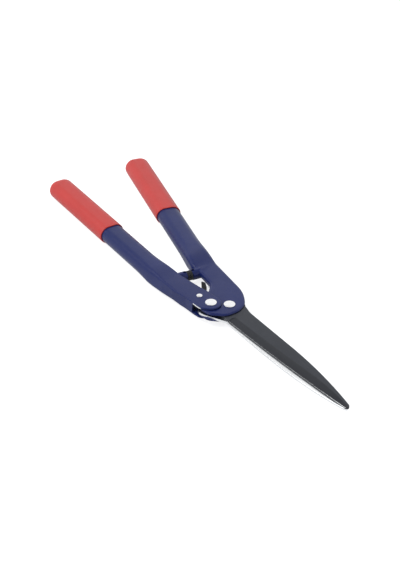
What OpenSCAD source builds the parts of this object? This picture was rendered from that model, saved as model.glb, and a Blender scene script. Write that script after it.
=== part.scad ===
// Compound-action hedge shears, lying flat and closed.
// +X runs from the handle pivot to the blade tips, +Y from the left handle to the
// right one, +Z up. The origin is on the handle pivot axis, on the surface that the
// shears lie on. The right handle, the lower blade and both pivot bolts are the fixed
// side; the left handle turns on the handle pivot, and its drive pin turns the upper
// blade on the blade pivot.

/* [Pivots] */
// Blade pivot, forward of the handle pivot
blade_pivot_x = 12; // [11:0.25:14]
// Blade pivot, to the right handle's side of the handle pivot
blade_pivot_y = 17; // [16.5:0.25:18.5]
// Distance from the handle pivot to the drive pin
drive_radius = 18.6; // [18.5:0.1:19.5]
// Direction of the drive pin from the handle pivot, in degrees
drive_angle = 189; // [186:0.5:192]
// Diameter of both pivot bolts
bolt_d = 8; // [6:0.25:8.5]
// Diameter of the pivot bolt heads
bolt_head_d = 13; // [12.5:0.1:15]
// Height of the domed pivot bolt heads
bolt_head_h = 1.6; // [1.6:0.1:3]
// Width across flats of the pivot nuts
nut_flats = 13; // [12.5:0.25:14]
// Height of the pivot nuts
nut_h = 4.2; // [3.6:0.1:5]
// Thickness of the washers under the nuts
nut_washer_t = 1.2; // [0.8:0.1:1.6]
// Diameter of the drive pin's shank
drive_pin_d = 4.5; // [3.5:0.1:4.6]
// Diameter of the drive pin's riveted heads
drive_head_d = 6.8; // [6:0.1:8]
// Outer diameter of the sleeve that slides in the upper blade's slot
drive_sleeve_d = 7.6; // [7:0.1:8]
// Outer diameter of the two spacers beside that sleeve
drive_spacer_d = 6; // [5.6:0.1:6.2]

/* [Blades] */
// Blade pivot to blade tip
blade_reach = 215; // [180:1:250]
// Width of the upper blade at its heel
blade_w = 27.1; // [25:0.1:30]
// Thickness of each blade
blade_t = 2.8; // [2.4:0.1:3.6]
// Blade spine to the blade pivot, across the blade
spine_offset = 10.3; // [9.5:0.1:11.5]
// Length of the blade nose, over which the spine curves in
nose_len = 117; // [80:1:125]
// How far the upper cutting edge bows out from a straight line
edge_bow = 3.5; // [1:0.1:4.5]
// How far the lower spine bows out, beyond that
spine_bow = 0.8; // [0:0.1:1]
// Width of the ground bevel at the heel of each cutting edge
bevel_w = 9.6; // [7:0.1:12]
// Thickness left at the heel of each cutting edge
edge_t = 0.6; // [0.4:0.1:1]
// How far the lower blade's spine stands out past the upper blade's cutting edge
blade_lead = 2; // [0.8:0.1:2.5]
// Blade pivot to the heel of the cutting edge
heel_x = 26; // [23:0.5:32]
// Width of the blunt blade tips
tip_w = 2; // [1:0.1:3]
// Radius of the upper blade around the blade pivot
blade_root_r = 17.8; // [16.5:0.1:18.2]

/* [Heads] */
// Thickness of the pressed plates of both handles
plate_t = 1.8; // [1.4:0.1:2.2]
// Thickness of the nylon washers between the handles' plates
side_washer_t = 0.6; // [0.4:0.1:1]
// Thickness of the washer over the upper blade
thrust_washer_t = 0.5; // [0.4:0.1:0.8]
// Radius of the left handle's rounded head
left_lobe_r = 12; // [11.5:0.1:12.6]
// Radius of the right handle's head around the handle pivot
right_lobe_r = 15; // [14.5:0.1:15.2]
// Outer diameter of the collar on the handle pivot, between the lower blade and the plate over it
collar_d = 11.4; // [10.8:0.1:12]

/* [Handles] */
// Width of the oval tubes
tube_w = 29; // [26:0.5:32]
// Height of the oval tubes
tube_h = 20; // [18:0.5:22]
// Wall of the tubes
tube_wall = 1.6; // [1.2:0.1:2]
// Bare tube between the head and the grip
bare_len = 104; // [70:1:140]
// Length of the straight part of the grips
grip_len = 128; // [100:1:160]
// Depth of the grips' rounded ends
grip_end = 9; // [7:0.5:12]
// Wall of the vinyl grips
grip_wall = 1.4; // [1:0.1:2]
// Direction of the left handle, rearwards, in degrees from +X
left_angle = 178.2; // [176:0.2:182]
// Direction of the right handle, rearwards, in degrees from +X
right_angle = 164.8; // [162:0.2:168]

/* [Buffers] */
// Diameter of the buffer bosses
boss_d = 13; // [11:0.5:14]
// Diameter of the rubber buffers
buffer_d = 12; // [10:0.5:13]
// Thickness of each rubber buffer in front of its boss
buffer_t = 3.3; // [3:0.1:4.5]
// Diameter of the buffers' stems
stem_d = 6; // [5:0.25:7]
// Diameter of the pins through the stems
stem_pin_d = 2.5; // [2:0.1:3]

/* [Clearances] */
// Play between a pivot bolt and what turns on it, on the radius
turning_clearance = 0.05; // [0.02:0.01:0.1]
// Play between parts that are fitted once and stay, on the radius
fitted_clearance = 0.05; // [0.02:0.01:0.1]
// Play between the two blades
blade_clearance = 0.05; // [0.02:0.01:0.1]
// Play of the drive sleeve in the upper blade's slot, on each side
slot_clearance = 0.2; // [0.1:0.05:0.4]
// Gap between the two buffers when the shears are closed
buffer_clearance = 0.1; // [0.05:0.05:0.3]

/* [Hidden] */
$fn = 96;
cut = 0.5;

// Heights of the stack at the pivots, from the surface upwards
left_low_z = nut_h + nut_washer_t;
right_low_z = left_low_z + plate_t + side_washer_t;
lower_blade_z = right_low_z + plate_t;
blade_plane_z = lower_blade_z + blade_t;
upper_blade_z = blade_plane_z + blade_clearance;
thrust_z = upper_blade_z + blade_t;
right_top_z = thrust_z + thrust_washer_t;
left_top_z = right_top_z + plate_t + side_washer_t;
left_head_h = left_top_z + plate_t - left_low_z;
right_head_h = right_top_z + plate_t - right_low_z;

// Plan positions
blade_pivot = [blade_pivot_x, blade_pivot_y];
drive_pos = drive_radius * [cos(drive_angle), sin(drive_angle)];
drive_arm = norm(drive_pos - blade_pivot);
slot_angle = atan2(drive_pos.y - blade_pivot.y, drive_pos.x - blade_pivot.x);
pivot_arm = norm(blade_pivot);
pivot_angle = atan2(-blade_pivot.y, -blade_pivot.x);

// Handle travel, and the blade travel that it gives through the drive pin
handle_travel = 65;
open_pos = drive_radius * [cos(drive_angle + handle_travel), sin(drive_angle + handle_travel)];
blade_travel = atan2(open_pos.y - blade_pivot.y, open_pos.x - blade_pivot.x) - slot_angle;
window_margin = 1.5;
window_clearance = 0.3;

// Tubes and grips
mid_z = tube_h / 2 + grip_wall;
neck_x = -95;
neck_end_x = -66;
left_neck_y = -9.9;
right_neck_y = 46.2;
neck_step = 0.1;
tube_len = bare_len + grip_len - 1;
plug_flange_t = 1.6;
plug_depth = 14;

// Buffers: the line that both bosses lie on, and the plane where the buffers meet
buffer_angle = (left_angle + right_angle) / 2 - 90;
buffer_centre = [-69.9, 17.9];
left_boss_reach = 15.7;
right_boss_reach = 14.8;
stem_len = 6;
stem_pin_place = 2;
pin_recess = 1;

function polar(r, a) = r * [cos(a), sin(a)];
function unit(v) = v / norm(v);

// The point where a line from p touches a circle of radius r around the origin
function tangent_point(p, r, side) =
    polar(r, atan2(p.y, p.x) + side * acos(r / norm(p)));

// A corner at b, between a and c, rounded to radius r
function corner(a, b, c, r) =
    let (
        u = unit(a - b),
        v = unit(c - b),
        half = acos(u * v) / 2,
        centre = b + unit(u + v) * r / sin(half),
        start = b + u * r / tan(half) - centre,
        turn = -sign(cross(u, v)) * (180 - 2 * half)
    )
    [for (i = [0:6]) centre + [
        start.x * cos(turn * i / 6) - start.y * sin(turn * i / 6),
        start.x * sin(turn * i / 6) + start.y * cos(turn * i / 6)
    ]];

// A closed outline of [x, y, radius] corners
function rounded(points) =
    let (n = len(points), xy = [for (p = points) [p.x, p.y]])
    [for (i = [0:n - 1]) each points[i].z > 0
        ? corner(xy[(i + n - 1) % n], xy[i], xy[(i + 1) % n], points[i].z)
        : [xy[i]]];

// An oval of width w and height h, as two half rounds and a flat between them
module oval(w, h) {
    circle(d = h);
    translate([-(w - h) / 2, 0]) circle(d = h);
    translate([(w - h) / 2, 0]) circle(d = h);
    square([w - h, h], center = true);
}

// Extrudes a section drawn across the handle along +X
module along(length) {
    rotate([90, 0, 90]) linear_extrude(length) children();
}

// Places a handle's own frame: +X rearwards along the tube, from the end of the neck
module on_left_handle() {
    translate([neck_x, left_neck_y, mid_z]) rotate([0, 0, left_angle]) children();
}

module on_right_handle() {
    translate([neck_x, right_neck_y, mid_z]) rotate([0, 0, right_angle]) children();
}

module tube() {
    difference() {
        along(tube_len) oval(tube_w, tube_h);
        translate([-cut, 0, 0]) along(tube_len + 2 * cut) oval(tube_w - 2 * tube_wall, tube_h - 2 * tube_wall);
    }
}

module tube_slice(thickness, inset) {
    along(thickness) oval(tube_w - 2 * inset, tube_h - 2 * inset, $fn = 32);
}

// The pressed neck between a tube and its head, which spans y0 to y1 and starts at height z0
module neck(y0, y1, z0, height, inset, lap) {
    hull() {
        children();
        translate([neck_end_x, y0 + inset, z0 + inset]) cube([lap, y1 - y0 - 2 * inset, height - 2 * inset]);
    }
}

module grip() {
    steps = 6;
    difference() {
        union() {
            translate([bare_len, 0, 0]) along(grip_len) oval(tube_w + 2 * grip_wall, tube_h + 2 * grip_wall);
            hull() {
                for (i = [0:steps]) {
                    inset = 0.72 * grip_end * (1 - cos(90 * i / steps));
                    translate([bare_len + grip_len - 0.01 + grip_end * sin(90 * i / steps), 0, 0])
                        tube_slice(0.01, inset - grip_wall);
                }
            }
        }
        translate([bare_len - cut, 0, 0])
            along(tube_len + plug_flange_t + fitted_clearance - bare_len + cut)
            oval(tube_w + 2 * fitted_clearance, tube_h + 2 * fitted_clearance);
    }
}

module tube_plug() {
    translate([tube_len, 0, 0]) along(plug_flange_t) oval(tube_w - 1, tube_h - 1);
    inner_w = tube_w - 2 * (tube_wall + fitted_clearance);
    inner_h = tube_h - 2 * (tube_wall + fitted_clearance);
    difference() {
        translate([tube_len - plug_depth, 0, 0]) along(plug_depth + cut) oval(inner_w, inner_h);
        translate([tube_len - plug_depth - cut, 0, 0]) along(plug_depth) oval(inner_w - 4, inner_h - 4);
    }
}

// Places the frame of a buffer: the origin where the buffers meet, +Z into its boss
module on_buffer_line(side) {
    translate([buffer_centre.x, buffer_centre.y, mid_z])
        rotate([0, 0, buffer_angle]) rotate([0, side * 90, 0]) children();
}

// The same, for the pin across a buffer's stem, which stands upright
module on_stem_pin(side) {
    on_buffer_line(side) translate([0, 0, buffer_t + stem_pin_place]) rotate([0, 90, 0]) children();
}

// A boss that ends at a given distance from where the buffers meet
module boss(side, reach) {
    on_buffer_line(side) translate([0, 0, buffer_t]) cylinder(d = boss_d, h = reach - buffer_t);
}

module stem_pin_bore(side) {
    on_stem_pin(side) translate([0, 0, -boss_d])
        cylinder(d = stem_pin_d + 2 * fitted_clearance, h = 2 * boss_d);
}

module boss_bores(side) {
    on_buffer_line(side) cylinder(d = stem_d + 2 * fitted_clearance, h = buffer_t + stem_len + cut);
    stem_pin_bore(side);
}

module buffer(side) {
    difference() {
        on_buffer_line(side) translate([0, 0, buffer_clearance / 2]) {
            cylinder(d = buffer_d, h = buffer_t - buffer_clearance / 2);
            cylinder(d = stem_d, h = buffer_t + stem_len - buffer_clearance / 2);
        }
        stem_pin_bore(side);
    }
}

module stem_pin(side) {
    on_stem_pin(side) translate([0, 0, pin_recess - boss_d / 2])
        cylinder(d = stem_pin_d, h = boss_d - 2 * pin_recess);
}

// Plan of the left handle's head: a round lobe on the handle pivot, and the strip behind it
left_wall_end = [-24, -16.6];
left_opening = [-15.8, -15.1];
left_inner = [[-20, 10.9], [-33, 8.3], [-66, 4.3]];
left_outer = [-66, -23];

module left_head_plan() {
    circle(r = left_lobe_r);
    polygon([
        left_outer,
        left_wall_end,
        tangent_point(left_wall_end, left_lobe_r, 1),
        [0, 0],
        tangent_point(left_inner[0], left_lobe_r, -1),
        left_inner[0],
        left_inner[1],
        left_inner[2]
    ]);
}

// The space in the left head, open on its inner side and at the front
module left_head_space() {
    polygon([
        [neck_end_x - 2, left_inner[2].y - 3],
        [neck_end_x - 2, left_outer.y + plate_t + 0.4],
        left_outer + [0, plate_t + 0.2],
        left_wall_end + [0, plate_t],
        left_opening + [0, plate_t],
        left_opening - [0, 5],
        [left_lobe_r + 5, -left_lobe_r - 10],
        [left_lobe_r + 5, left_lobe_r + 10],
        [-44, left_inner[2].y + 10],
        [-50, left_inner[2].y - 3]
    ]);
}

module left_handle() {
    color([0.2, 0.22, 0.42])
    difference() {
        union() {
            on_left_handle() tube();
            difference() {
                neck(left_outer.y, left_inner[2].y, left_low_z, left_head_h, 0, 1)
                    on_left_handle() tube_slice(1, -neck_step);
                neck(left_outer.y, left_inner[2].y, left_low_z, left_head_h, plate_t, 2)
                    on_left_handle() tube_slice(2, tube_wall + neck_step);
            }
            translate([0, 0, left_low_z]) difference() {
                linear_extrude(left_head_h) left_head_plan();
                translate([0, 0, plate_t]) linear_extrude(left_head_h - 2 * plate_t) left_head_space();
            }
            boss(-1, left_boss_reach);
        }
        translate([0, 0, -cut]) cylinder(d = bolt_d + 2 * turning_clearance, h = 40);
        translate([drive_pos.x, drive_pos.y, -cut]) cylinder(d = drive_pin_d + 2 * fitted_clearance, h = 40);
        boss_bores(-1);
    }
}

// Plan of the right handle's head: wide over both pivots, narrowing to the neck
right_outline = [
    [-66, 53.8, 0], [-66, 28.6, 0], [-50, 27.4, 20], [-36, 26.2, 12], [-22, 15, 12],
    [-13, 8, 0], [0, 0, 0], [3, -15, 0], [13, -12.8, 10], [27.4, 2, 12], [27.4, 21, 14],
    [20.1, 33.8, 10], [0, 45.9, 20]
];

module right_head_plan() {
    circle(r = right_lobe_r);
    polygon(rounded(right_outline));
}

// The space in the right head, open on its inner side and at the front
module right_head_space() {
    polygon([
        [neck_end_x - 2, right_outline[1].y + plate_t],
        [-47, 27.2 + plate_t],
        [-38, 26.4 + plate_t],
        [-37, -30],
        [60, -30],
        [60, 60],
        [4, 60],
        [4, 41.5],
        [neck_end_x - 2, right_outline[0].y - plate_t]
    ]);
}

module right_handle() {
    color([0.2, 0.22, 0.42])
    difference() {
        union() {
            on_right_handle() tube();
            difference() {
                neck(right_outline[1].y, right_outline[0].y, right_low_z, right_head_h, 0, 1)
                    on_right_handle() tube_slice(1, -neck_step);
                neck(right_outline[1].y, right_outline[0].y, right_low_z, right_head_h, plate_t, 2)
                    on_right_handle() tube_slice(2, tube_wall + neck_step);
            }
            translate([0, 0, right_low_z]) difference() {
                linear_extrude(right_head_h) right_head_plan();
                translate([0, 0, plate_t]) linear_extrude(right_head_h - 2 * plate_t) right_head_space();
            }
            boss(1, right_boss_reach);
        }
        translate([0, 0, -cut]) cylinder(d = bolt_d + 2 * fitted_clearance, h = 40);
        translate([blade_pivot.x, blade_pivot.y, -cut]) cylinder(d = bolt_d + 2 * fitted_clearance, h = 40);
        boss_bores(1);
    }
}

module left_grip() {
    color([0.84, 0.3, 0.28]) on_left_handle() grip();
}

module right_grip() {
    color([0.84, 0.3, 0.28]) on_right_handle() grip();
}

module left_tube_plug() {
    color([0.15, 0.15, 0.16]) on_left_handle() tube_plug();
}

module right_tube_plug() {
    color([0.15, 0.15, 0.16]) on_right_handle() tube_plug();
}

module at_blade_pivot(z) {
    translate([blade_pivot.x, blade_pivot.y, z]) children();
}

// Blade shapes have the blade pivot at the origin. The upper blade cuts with its -Y edge.
edge_y = spine_offset - blade_w;
blade_len = blade_reach - heel_x;
tip_y = -4;
nose_drop = spine_offset - tip_y;
nose_r = (nose_len * nose_len + nose_drop * nose_drop) / (2 * nose_drop);

// Everything on the +Y side of a line from y0 at the heel to y1 at the tip, bowed out by bow
module above_bow(y0, y1, bow) {
    bow_r = (blade_len * blade_len / 4 + bow * bow) / (2 * bow);
    translate([heel_x, y0]) rotate([0, 0, atan2(y1 - y0, blade_len)])
        translate([blade_len / 2, bow_r - bow]) circle(r = bow_r, $fn = 1440);
}

module upper_blade_front() {
    intersection() {
        translate([heel_x, -2 * blade_w]) square([blade_len, 4 * blade_w]);
        union() {
            translate([0, -2 * blade_w]) square([blade_reach - nose_len, 2 * blade_w + spine_offset]);
            translate([blade_reach - nose_len, spine_offset - nose_r]) circle(r = nose_r, $fn = 720);
        }
        above_bow(edge_y, tip_y - tip_w, edge_bow);
    }
}

// The upper blade around its pivot, and its tail: the arc window lets the collar on the
// handle pivot through, the open slot takes the drive sleeve, and the horn is its rear corner
blade_shoulder = [
    [-10, 10, 0], [0, -blade_root_r + 0.2, 0], [heel_x + 1, edge_y, 0],
    [heel_x + 1, spine_offset, 0], [heel_x - 7, spine_offset + 0.6, 5], [10, 14.7, 0]
];
slot_end_r = drive_arm + 6;
slot_end = polar(slot_end_r, slot_angle);
prong_w = 3.4;
tail_outline = [
    [-6, 15, 0], [-25, 3.4, 8], [-34, -2.6, 8], [-41, -3.2, 3], [-49, 2.6, 3], [-59, 3.3, 0.6],
    [-48, -4, 6], slot_end_corner(-1), slot_end_corner(1), [-13, -26.8, 11], [2, -17.5, 0], [0, 0, 0]
];

function slot_end_corner(side) = let (
    half = drive_sleeve_d / 2 + slot_clearance + prong_w,
    p = slot_end + polar(half, slot_angle + side * 90)
) [p.x, p.y, 2];

module tail_window() {
    low = pivot_angle - blade_travel - window_margin;
    high = pivot_angle + window_margin;
    half = collar_d / 2 + window_clearance;
    rotate([0, 0, low]) rotate_window(high - low, half);
    for (a = [low, high]) translate(polar(pivot_arm, a)) circle(r = half);
}

// A stretch of a ring around the origin, as wide as the window
module rotate_window(angle, half) {
    difference() {
        circle(r = pivot_arm + half);
        circle(r = pivot_arm - half);
        rotate([0, 0, 180]) translate([-2 * pivot_arm, 0]) square([4 * pivot_arm, 2 * pivot_arm]);
        rotate([0, 0, angle]) translate([-2 * pivot_arm, 0]) square([4 * pivot_arm, 2 * pivot_arm]);
    }
}

module drive_slot() {
    width = drive_sleeve_d + 2 * slot_clearance;
    rotate([0, 0, slot_angle]) translate([drive_arm - 0.4, 0]) {
        circle(d = width);
        translate([0, -width / 2]) square([20, width]);
    }
}

module upper_blade_plan() {
    difference() {
        union() {
            upper_blade_front();
            circle(r = blade_root_r);
            polygon(rounded(blade_shoulder));
            polygon(rounded(tail_outline));
        }
        circle(d = bolt_d + 2 * turning_clearance);
        tail_window();
        drive_slot();
    }
}

// The wedge that the ground bevel takes off, for a bevel line rising from the heel to the tip
module bevel_cut() {
    tilt = asin((blade_t - edge_t) / bevel_w);
    translate([heel_x - 2, edge_y + bevel_w, blade_t])
        rotate([0, 0, atan2(tip_y - edge_y - bevel_w, blade_len)])
        rotate([tilt, 0, 0]) translate([0, -2 * blade_w, 0]) cube([blade_len + 20, 2 * blade_w, 3 * blade_t]);
}

module upper_blade() {
    color([0.27, 0.29, 0.32])
    at_blade_pivot(upper_blade_z) difference() {
        linear_extrude(blade_t) upper_blade_plan();
        bevel_cut();
    }
}

// Plan of the lower blade: its spine follows the upper blade's edge, and it cuts with its +Y edge
lower_edge_y = 9;
lower_edge_bow = 1.5;
lower_tip_setback = 1.2;
lower_tang = [
    [20, -17.2, 4], [heel_x + 1, edge_y - blade_lead, 0], [heel_x + 1, lower_edge_y, 0], [10, 13.6, 0],
    [-22, 13.5, 6], [-49, 7.6, 5], [-51.5, 1, 5], [-47.5, -4.5, 5], [-26.5, -16, 0], [-12, -17, 0],
    [-4, -29.3, 0], [3.5, -25.5, 20]
];

module lower_blade_plan() {
    difference() {
        union() {
            intersection() {
                translate([heel_x, -2 * blade_w]) square([blade_len - lower_tip_setback, 4 * blade_w]);
                above_bow(edge_y - blade_lead, tip_y - tip_w - 0.6, edge_bow + spine_bow);
                mirror([0, 1]) above_bow(-lower_edge_y, -tip_y, lower_edge_bow);
            }
            circle(r = blade_root_r - 1.4);
            translate(-blade_pivot) circle(r = right_lobe_r - 0.4);
            polygon(rounded(lower_tang));
        }
        circle(d = bolt_d + 2 * fitted_clearance);
        translate(-blade_pivot) circle(d = bolt_d + 2 * fitted_clearance);
    }
}

module lower_blade() {
    color([0.85, 0.86, 0.88])
    at_blade_pivot(lower_blade_z) difference() {
        linear_extrude(blade_t) lower_blade_plan();
        translate([0, 0, blade_t]) rotate([180, 0, 0])
            translate([0, -lower_edge_y - edge_y, 0]) bevel_cut();
    }
}

module ring(outer_d, inner_d, height) {
    difference() {
        cylinder(d = outer_d, h = height);
        translate([0, 0, -cut]) cylinder(d = inner_d, h = height + 2 * cut);
    }
}

// A low dome with a short straight rim, around +Z
module domed_head(d, h) {
    rim = 0.25 * h;
    rise = h - rim;
    dome_r = (d * d / 4 + rise * rise) / (2 * rise);
    rise_angle = asin(d / 2 / dome_r);
    rotate_extrude() polygon([
        [0, 0],
        [d / 2, 0],
        for (i = [8:-1:0]) [dome_r * sin(rise_angle * i / 8), h - dome_r * (1 - cos(rise_angle * i / 8))]
    ]);
}

// A pivot bolt from its nut's lower face at z0 up to the plate that its head lies on
module pivot_bolt(z0, head_z) {
    translate([0, 0, z0]) cylinder(d = bolt_d, h = head_z - z0);
    translate([0, 0, head_z]) domed_head(bolt_head_d, bolt_head_h);
}

module pivot_nut() {
    difference() {
        cylinder(d = nut_flats / cos(30), h = nut_h, $fn = 6);
        translate([0, 0, -cut]) cylinder(d = bolt_d + 2 * fitted_clearance, h = nut_h + 2 * cut);
    }
}

module nut_washer() {
    ring(nut_flats + 3, bolt_d + 2 * fitted_clearance, nut_washer_t);
}

steel = [0.86, 0.86, 0.86];
nylon = [0.9, 0.9, 0.87];
rubber = [0.1, 0.1, 0.11];
blade_nut_z = right_low_z - nut_washer_t - nut_h;
sleeve_z = upper_blade_z - 0.3;
sleeve_h = blade_t + 0.6;

module blade_pivot_bolt() {
    color(steel) at_blade_pivot(0) pivot_bolt(blade_nut_z, right_top_z + plate_t);
}

module blade_pivot_nut() {
    color(steel) at_blade_pivot(blade_nut_z) pivot_nut();
}

module blade_pivot_nut_washer() {
    color(steel) at_blade_pivot(blade_nut_z + nut_h) nut_washer();
}

module blade_thrust_washer() {
    color(nylon) at_blade_pivot(thrust_z) ring(24, bolt_d + 2 * fitted_clearance, thrust_washer_t);
}

module handle_pivot_bolt() {
    color(steel) pivot_bolt(0, left_top_z + plate_t);
}

module handle_pivot_nut() {
    color(steel) pivot_nut();
}

module handle_pivot_nut_washer() {
    color(steel) translate([0, 0, nut_h]) nut_washer();
}

module handle_side_washers() {
    for (z = [left_low_z + plate_t, right_top_z + plate_t])
        color(nylon) translate([0, 0, z])
            ring(2 * left_lobe_r - 2, bolt_d + 2 * fitted_clearance, side_washer_t);
}

module handle_pivot_collar() {
    color(steel) translate([0, 0, blade_plane_z])
        ring(collar_d, bolt_d + 2 * fitted_clearance, right_top_z - blade_plane_z);
}

module at_drive_pin(z) {
    translate([drive_pos.x, drive_pos.y, z]) children();
}

module drive_pin() {
    color(steel) {
        at_drive_pin(left_low_z) cylinder(d = drive_pin_d, h = left_head_h);
        at_drive_pin(left_low_z + left_head_h) domed_head(drive_head_d, 1.2);
        at_drive_pin(left_low_z) mirror([0, 0, 1]) domed_head(drive_head_d, 1.2);
    }
}

module drive_sleeve() {
    color(steel) at_drive_pin(sleeve_z) ring(drive_sleeve_d, drive_pin_d + 2 * fitted_clearance, sleeve_h);
}

module drive_spacers() {
    low = left_low_z + plate_t;
    high = sleeve_z + sleeve_h;
    inner = drive_pin_d + 2 * fitted_clearance;
    color(steel) {
        at_drive_pin(low) ring(drive_spacer_d, inner, sleeve_z - low);
        at_drive_pin(high) ring(drive_spacer_d, inner, left_top_z - high);
    }
}

module left_buffer() {
    color(rubber) buffer(-1);
}

module right_buffer() {
    color(rubber) buffer(1);
}

module left_buffer_pin() {
    color(steel) stem_pin(-1);
}

module right_buffer_pin() {
    color(steel) stem_pin(1);
}

left_handle();
right_handle();
left_grip();
right_grip();
left_tube_plug();
right_tube_plug();
upper_blade();
lower_blade();
blade_pivot_bolt();
blade_pivot_nut();
blade_pivot_nut_washer();
blade_thrust_washer();
handle_pivot_bolt();
handle_pivot_nut();
handle_pivot_nut_washer();
handle_side_washers();
handle_pivot_collar();
drive_pin();
drive_sleeve();
drive_spacers();
left_buffer();
right_buffer();
left_buffer_pin();
right_buffer_pin();
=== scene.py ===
import math

import bmesh
import bpy
import numpy as np
from mathutils import Matrix, Vector

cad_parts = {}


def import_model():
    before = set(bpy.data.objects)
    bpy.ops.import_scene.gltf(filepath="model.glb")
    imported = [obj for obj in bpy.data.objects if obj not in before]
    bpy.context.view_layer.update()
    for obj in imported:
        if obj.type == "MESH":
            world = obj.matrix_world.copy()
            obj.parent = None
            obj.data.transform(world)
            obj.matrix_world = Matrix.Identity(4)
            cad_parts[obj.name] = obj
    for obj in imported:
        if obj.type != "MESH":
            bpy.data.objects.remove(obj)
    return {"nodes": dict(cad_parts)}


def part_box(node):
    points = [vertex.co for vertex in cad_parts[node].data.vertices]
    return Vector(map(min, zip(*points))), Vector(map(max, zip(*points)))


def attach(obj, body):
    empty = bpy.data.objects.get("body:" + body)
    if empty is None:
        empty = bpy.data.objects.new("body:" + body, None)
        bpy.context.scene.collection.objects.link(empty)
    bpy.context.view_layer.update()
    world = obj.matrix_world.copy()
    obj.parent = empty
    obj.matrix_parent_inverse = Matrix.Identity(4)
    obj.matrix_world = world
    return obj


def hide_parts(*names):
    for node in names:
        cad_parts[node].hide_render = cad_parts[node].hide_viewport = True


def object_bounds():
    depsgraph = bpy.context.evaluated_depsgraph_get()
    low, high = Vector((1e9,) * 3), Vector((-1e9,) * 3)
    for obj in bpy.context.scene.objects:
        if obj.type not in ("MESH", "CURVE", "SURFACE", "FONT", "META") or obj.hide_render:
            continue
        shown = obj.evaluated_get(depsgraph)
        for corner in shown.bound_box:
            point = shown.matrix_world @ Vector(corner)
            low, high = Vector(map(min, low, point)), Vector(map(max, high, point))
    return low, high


# Compound-action hedge shears. Shapes are worked out in millimetres in the frame's own axes:
# +X to the blade tips, +Y from the left handle to the right one, +Z up.
MM = 0.001

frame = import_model()
cad_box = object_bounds()

# Studio: the camera stands in front of the left side, above the floor
LOOK_AT = (-0.04646, 0.01739, 0.0114)
CAMERA_AT = (1.0887, -0.7716, 0.9439)
LENS_MM = 130.5
SENSOR_MM = 36
FLOOR_SIZE = 6.0
WHITE = (1, 1, 1, 1)


def centre(node):
    low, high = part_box(node)
    return (low + high) / 2 / MM


def bottom(node):
    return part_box(node)[0].z / MM


def top(node):
    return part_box(node)[1].z / MM


def radius_of(node):
    low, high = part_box(node)
    return (high.x - low.x) / 2 / MM


# Pivots and heights, from the frame. A head's plate lies on each side of its washers or blades.
HANDLE_PIVOT = centre("handle_pivot_bolt")
BLADE_PIVOT = centre("blade_pivot_bolt")
DRIVE_PIN = centre("drive_pin")
PLATE = bottom("handle_side_washers") - top("handle_pivot_nut_washer")
LEFT_LOW = top("handle_pivot_nut_washer")
LEFT_TOP = top("handle_side_washers") + PLATE
RIGHT_LOW = bottom("lower_blade") - PLATE
RIGHT_TOP = top("blade_thrust_washer") + PLATE
MID_Z = centre("left_grip").z

# Tubes, necks and grips
GRIP_WALL = 1.4
GRIP_H = 2 * MID_Z
TUBE_H = GRIP_H - 2 * GRIP_WALL
TUBE_W = 29
BARE_LEN = 104
GRIP_LEN = 128
GRIP_END = 9
GRIP_END_SIDE = 10.7
GRIP_END_RISE = 6.5
TUBE_LEN = BARE_LEN + GRIP_LEN - 1
LEFT_ANGLE = math.radians(178.2)
RIGHT_ANGLE = math.radians(164.8)
NECK_X = -95
NECK_END_X = -66
LEFT_NECK = (NECK_X, -9.9)
RIGHT_NECK = (NECK_X, 46.2)

# Holes in plates, blades and bosses are wider than their pins by CLEARANCE all round
CLEARANCE = 0.05
ABOVE = 30
BOLT_R = 4
DRIVE_PIN_R = 2.25

# Blades, with the blade pivot as their origin
BLADE_T = top("upper_blade") - bottom("upper_blade")
BLADE_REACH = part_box("upper_blade")[1].x / MM - BLADE_PIVOT.x
HEEL_X = 26
SPINE_Y = 11.9
SPINE_LEAN = 0.018
SPINE_DROP = 11.4
NOSE_LEN = 117
EDGE_Y = -16.6
EDGE_TIP_Y = -7.8
EDGE_BOW = 1.8
LOWER_SPINE_Y = -18.4
LOWER_SPINE_TIP_Y = -7.3
LOWER_SPINE_BOW = 6.2
LOWER_SPINE_SKEW = 0.35
LOWER_EDGE_Y = 9
LOWER_EDGE_TIP_Y = -4
LOWER_EDGE_BOW = 1.5

# Hardware
HEAD_R = 6.5
HEAD_ROOM = 1.6
HEAD_RIM = 0.9
DOME_RISE = 0.4
RIVET_R = 3.4
RIVET_H = 1.2
RIVET_RIM = 0.85
WASHER_T = 0.6
SPACER_R = 3
SLEEVE_LIFT = 0.3
PIN_RECESS = 3

# Where the painted shade over the upper blade's tail ends, in metres along X: near black, for the shade
# between the head's plates
PAINTED_SHADE_FROM = -0.022
PAINTED_SHADE_TO = -0.004

# Light. A side is a direction, and its span is the cosines between which the light changes.
FLOOR_GLOW = 0.8
FLOOR_SHEEN = 0.4
AMBIENT_HIGH = 0.84
AMBIENT_LOW = 0.1
BRIGHT_SIDE = (-0.7, -0.3, 0.5)
BRIGHT_SPAN = (-0.7, 0.7)
DARK_SIDE = (0, -0.45, 0.9)
DARK_SPAN = (0.42, 0.72)
CEILING = 0.2
LAMP_AT = (-0.7, -1.0, 1.6)
LAMP_SIZE = (1.8, 1.4)
LAMP_POWER = 16


# ---------------------------------------------------------------- plan curves

def polar(radius, angle):
    return np.array([radius * math.cos(angle), radius * math.sin(angle)])


def ease(x, start, end):
    t = np.clip((np.asarray(x, float) - start) / (end - start), 0, 1)
    return t * t * (3 - 2 * t)


def arc(middle, radius, start, end, steps):
    """Points on an arc, from start to end in degrees."""
    return [np.array(middle) + polar(radius, math.radians(a)) for a in np.linspace(start, end, steps)]


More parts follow.
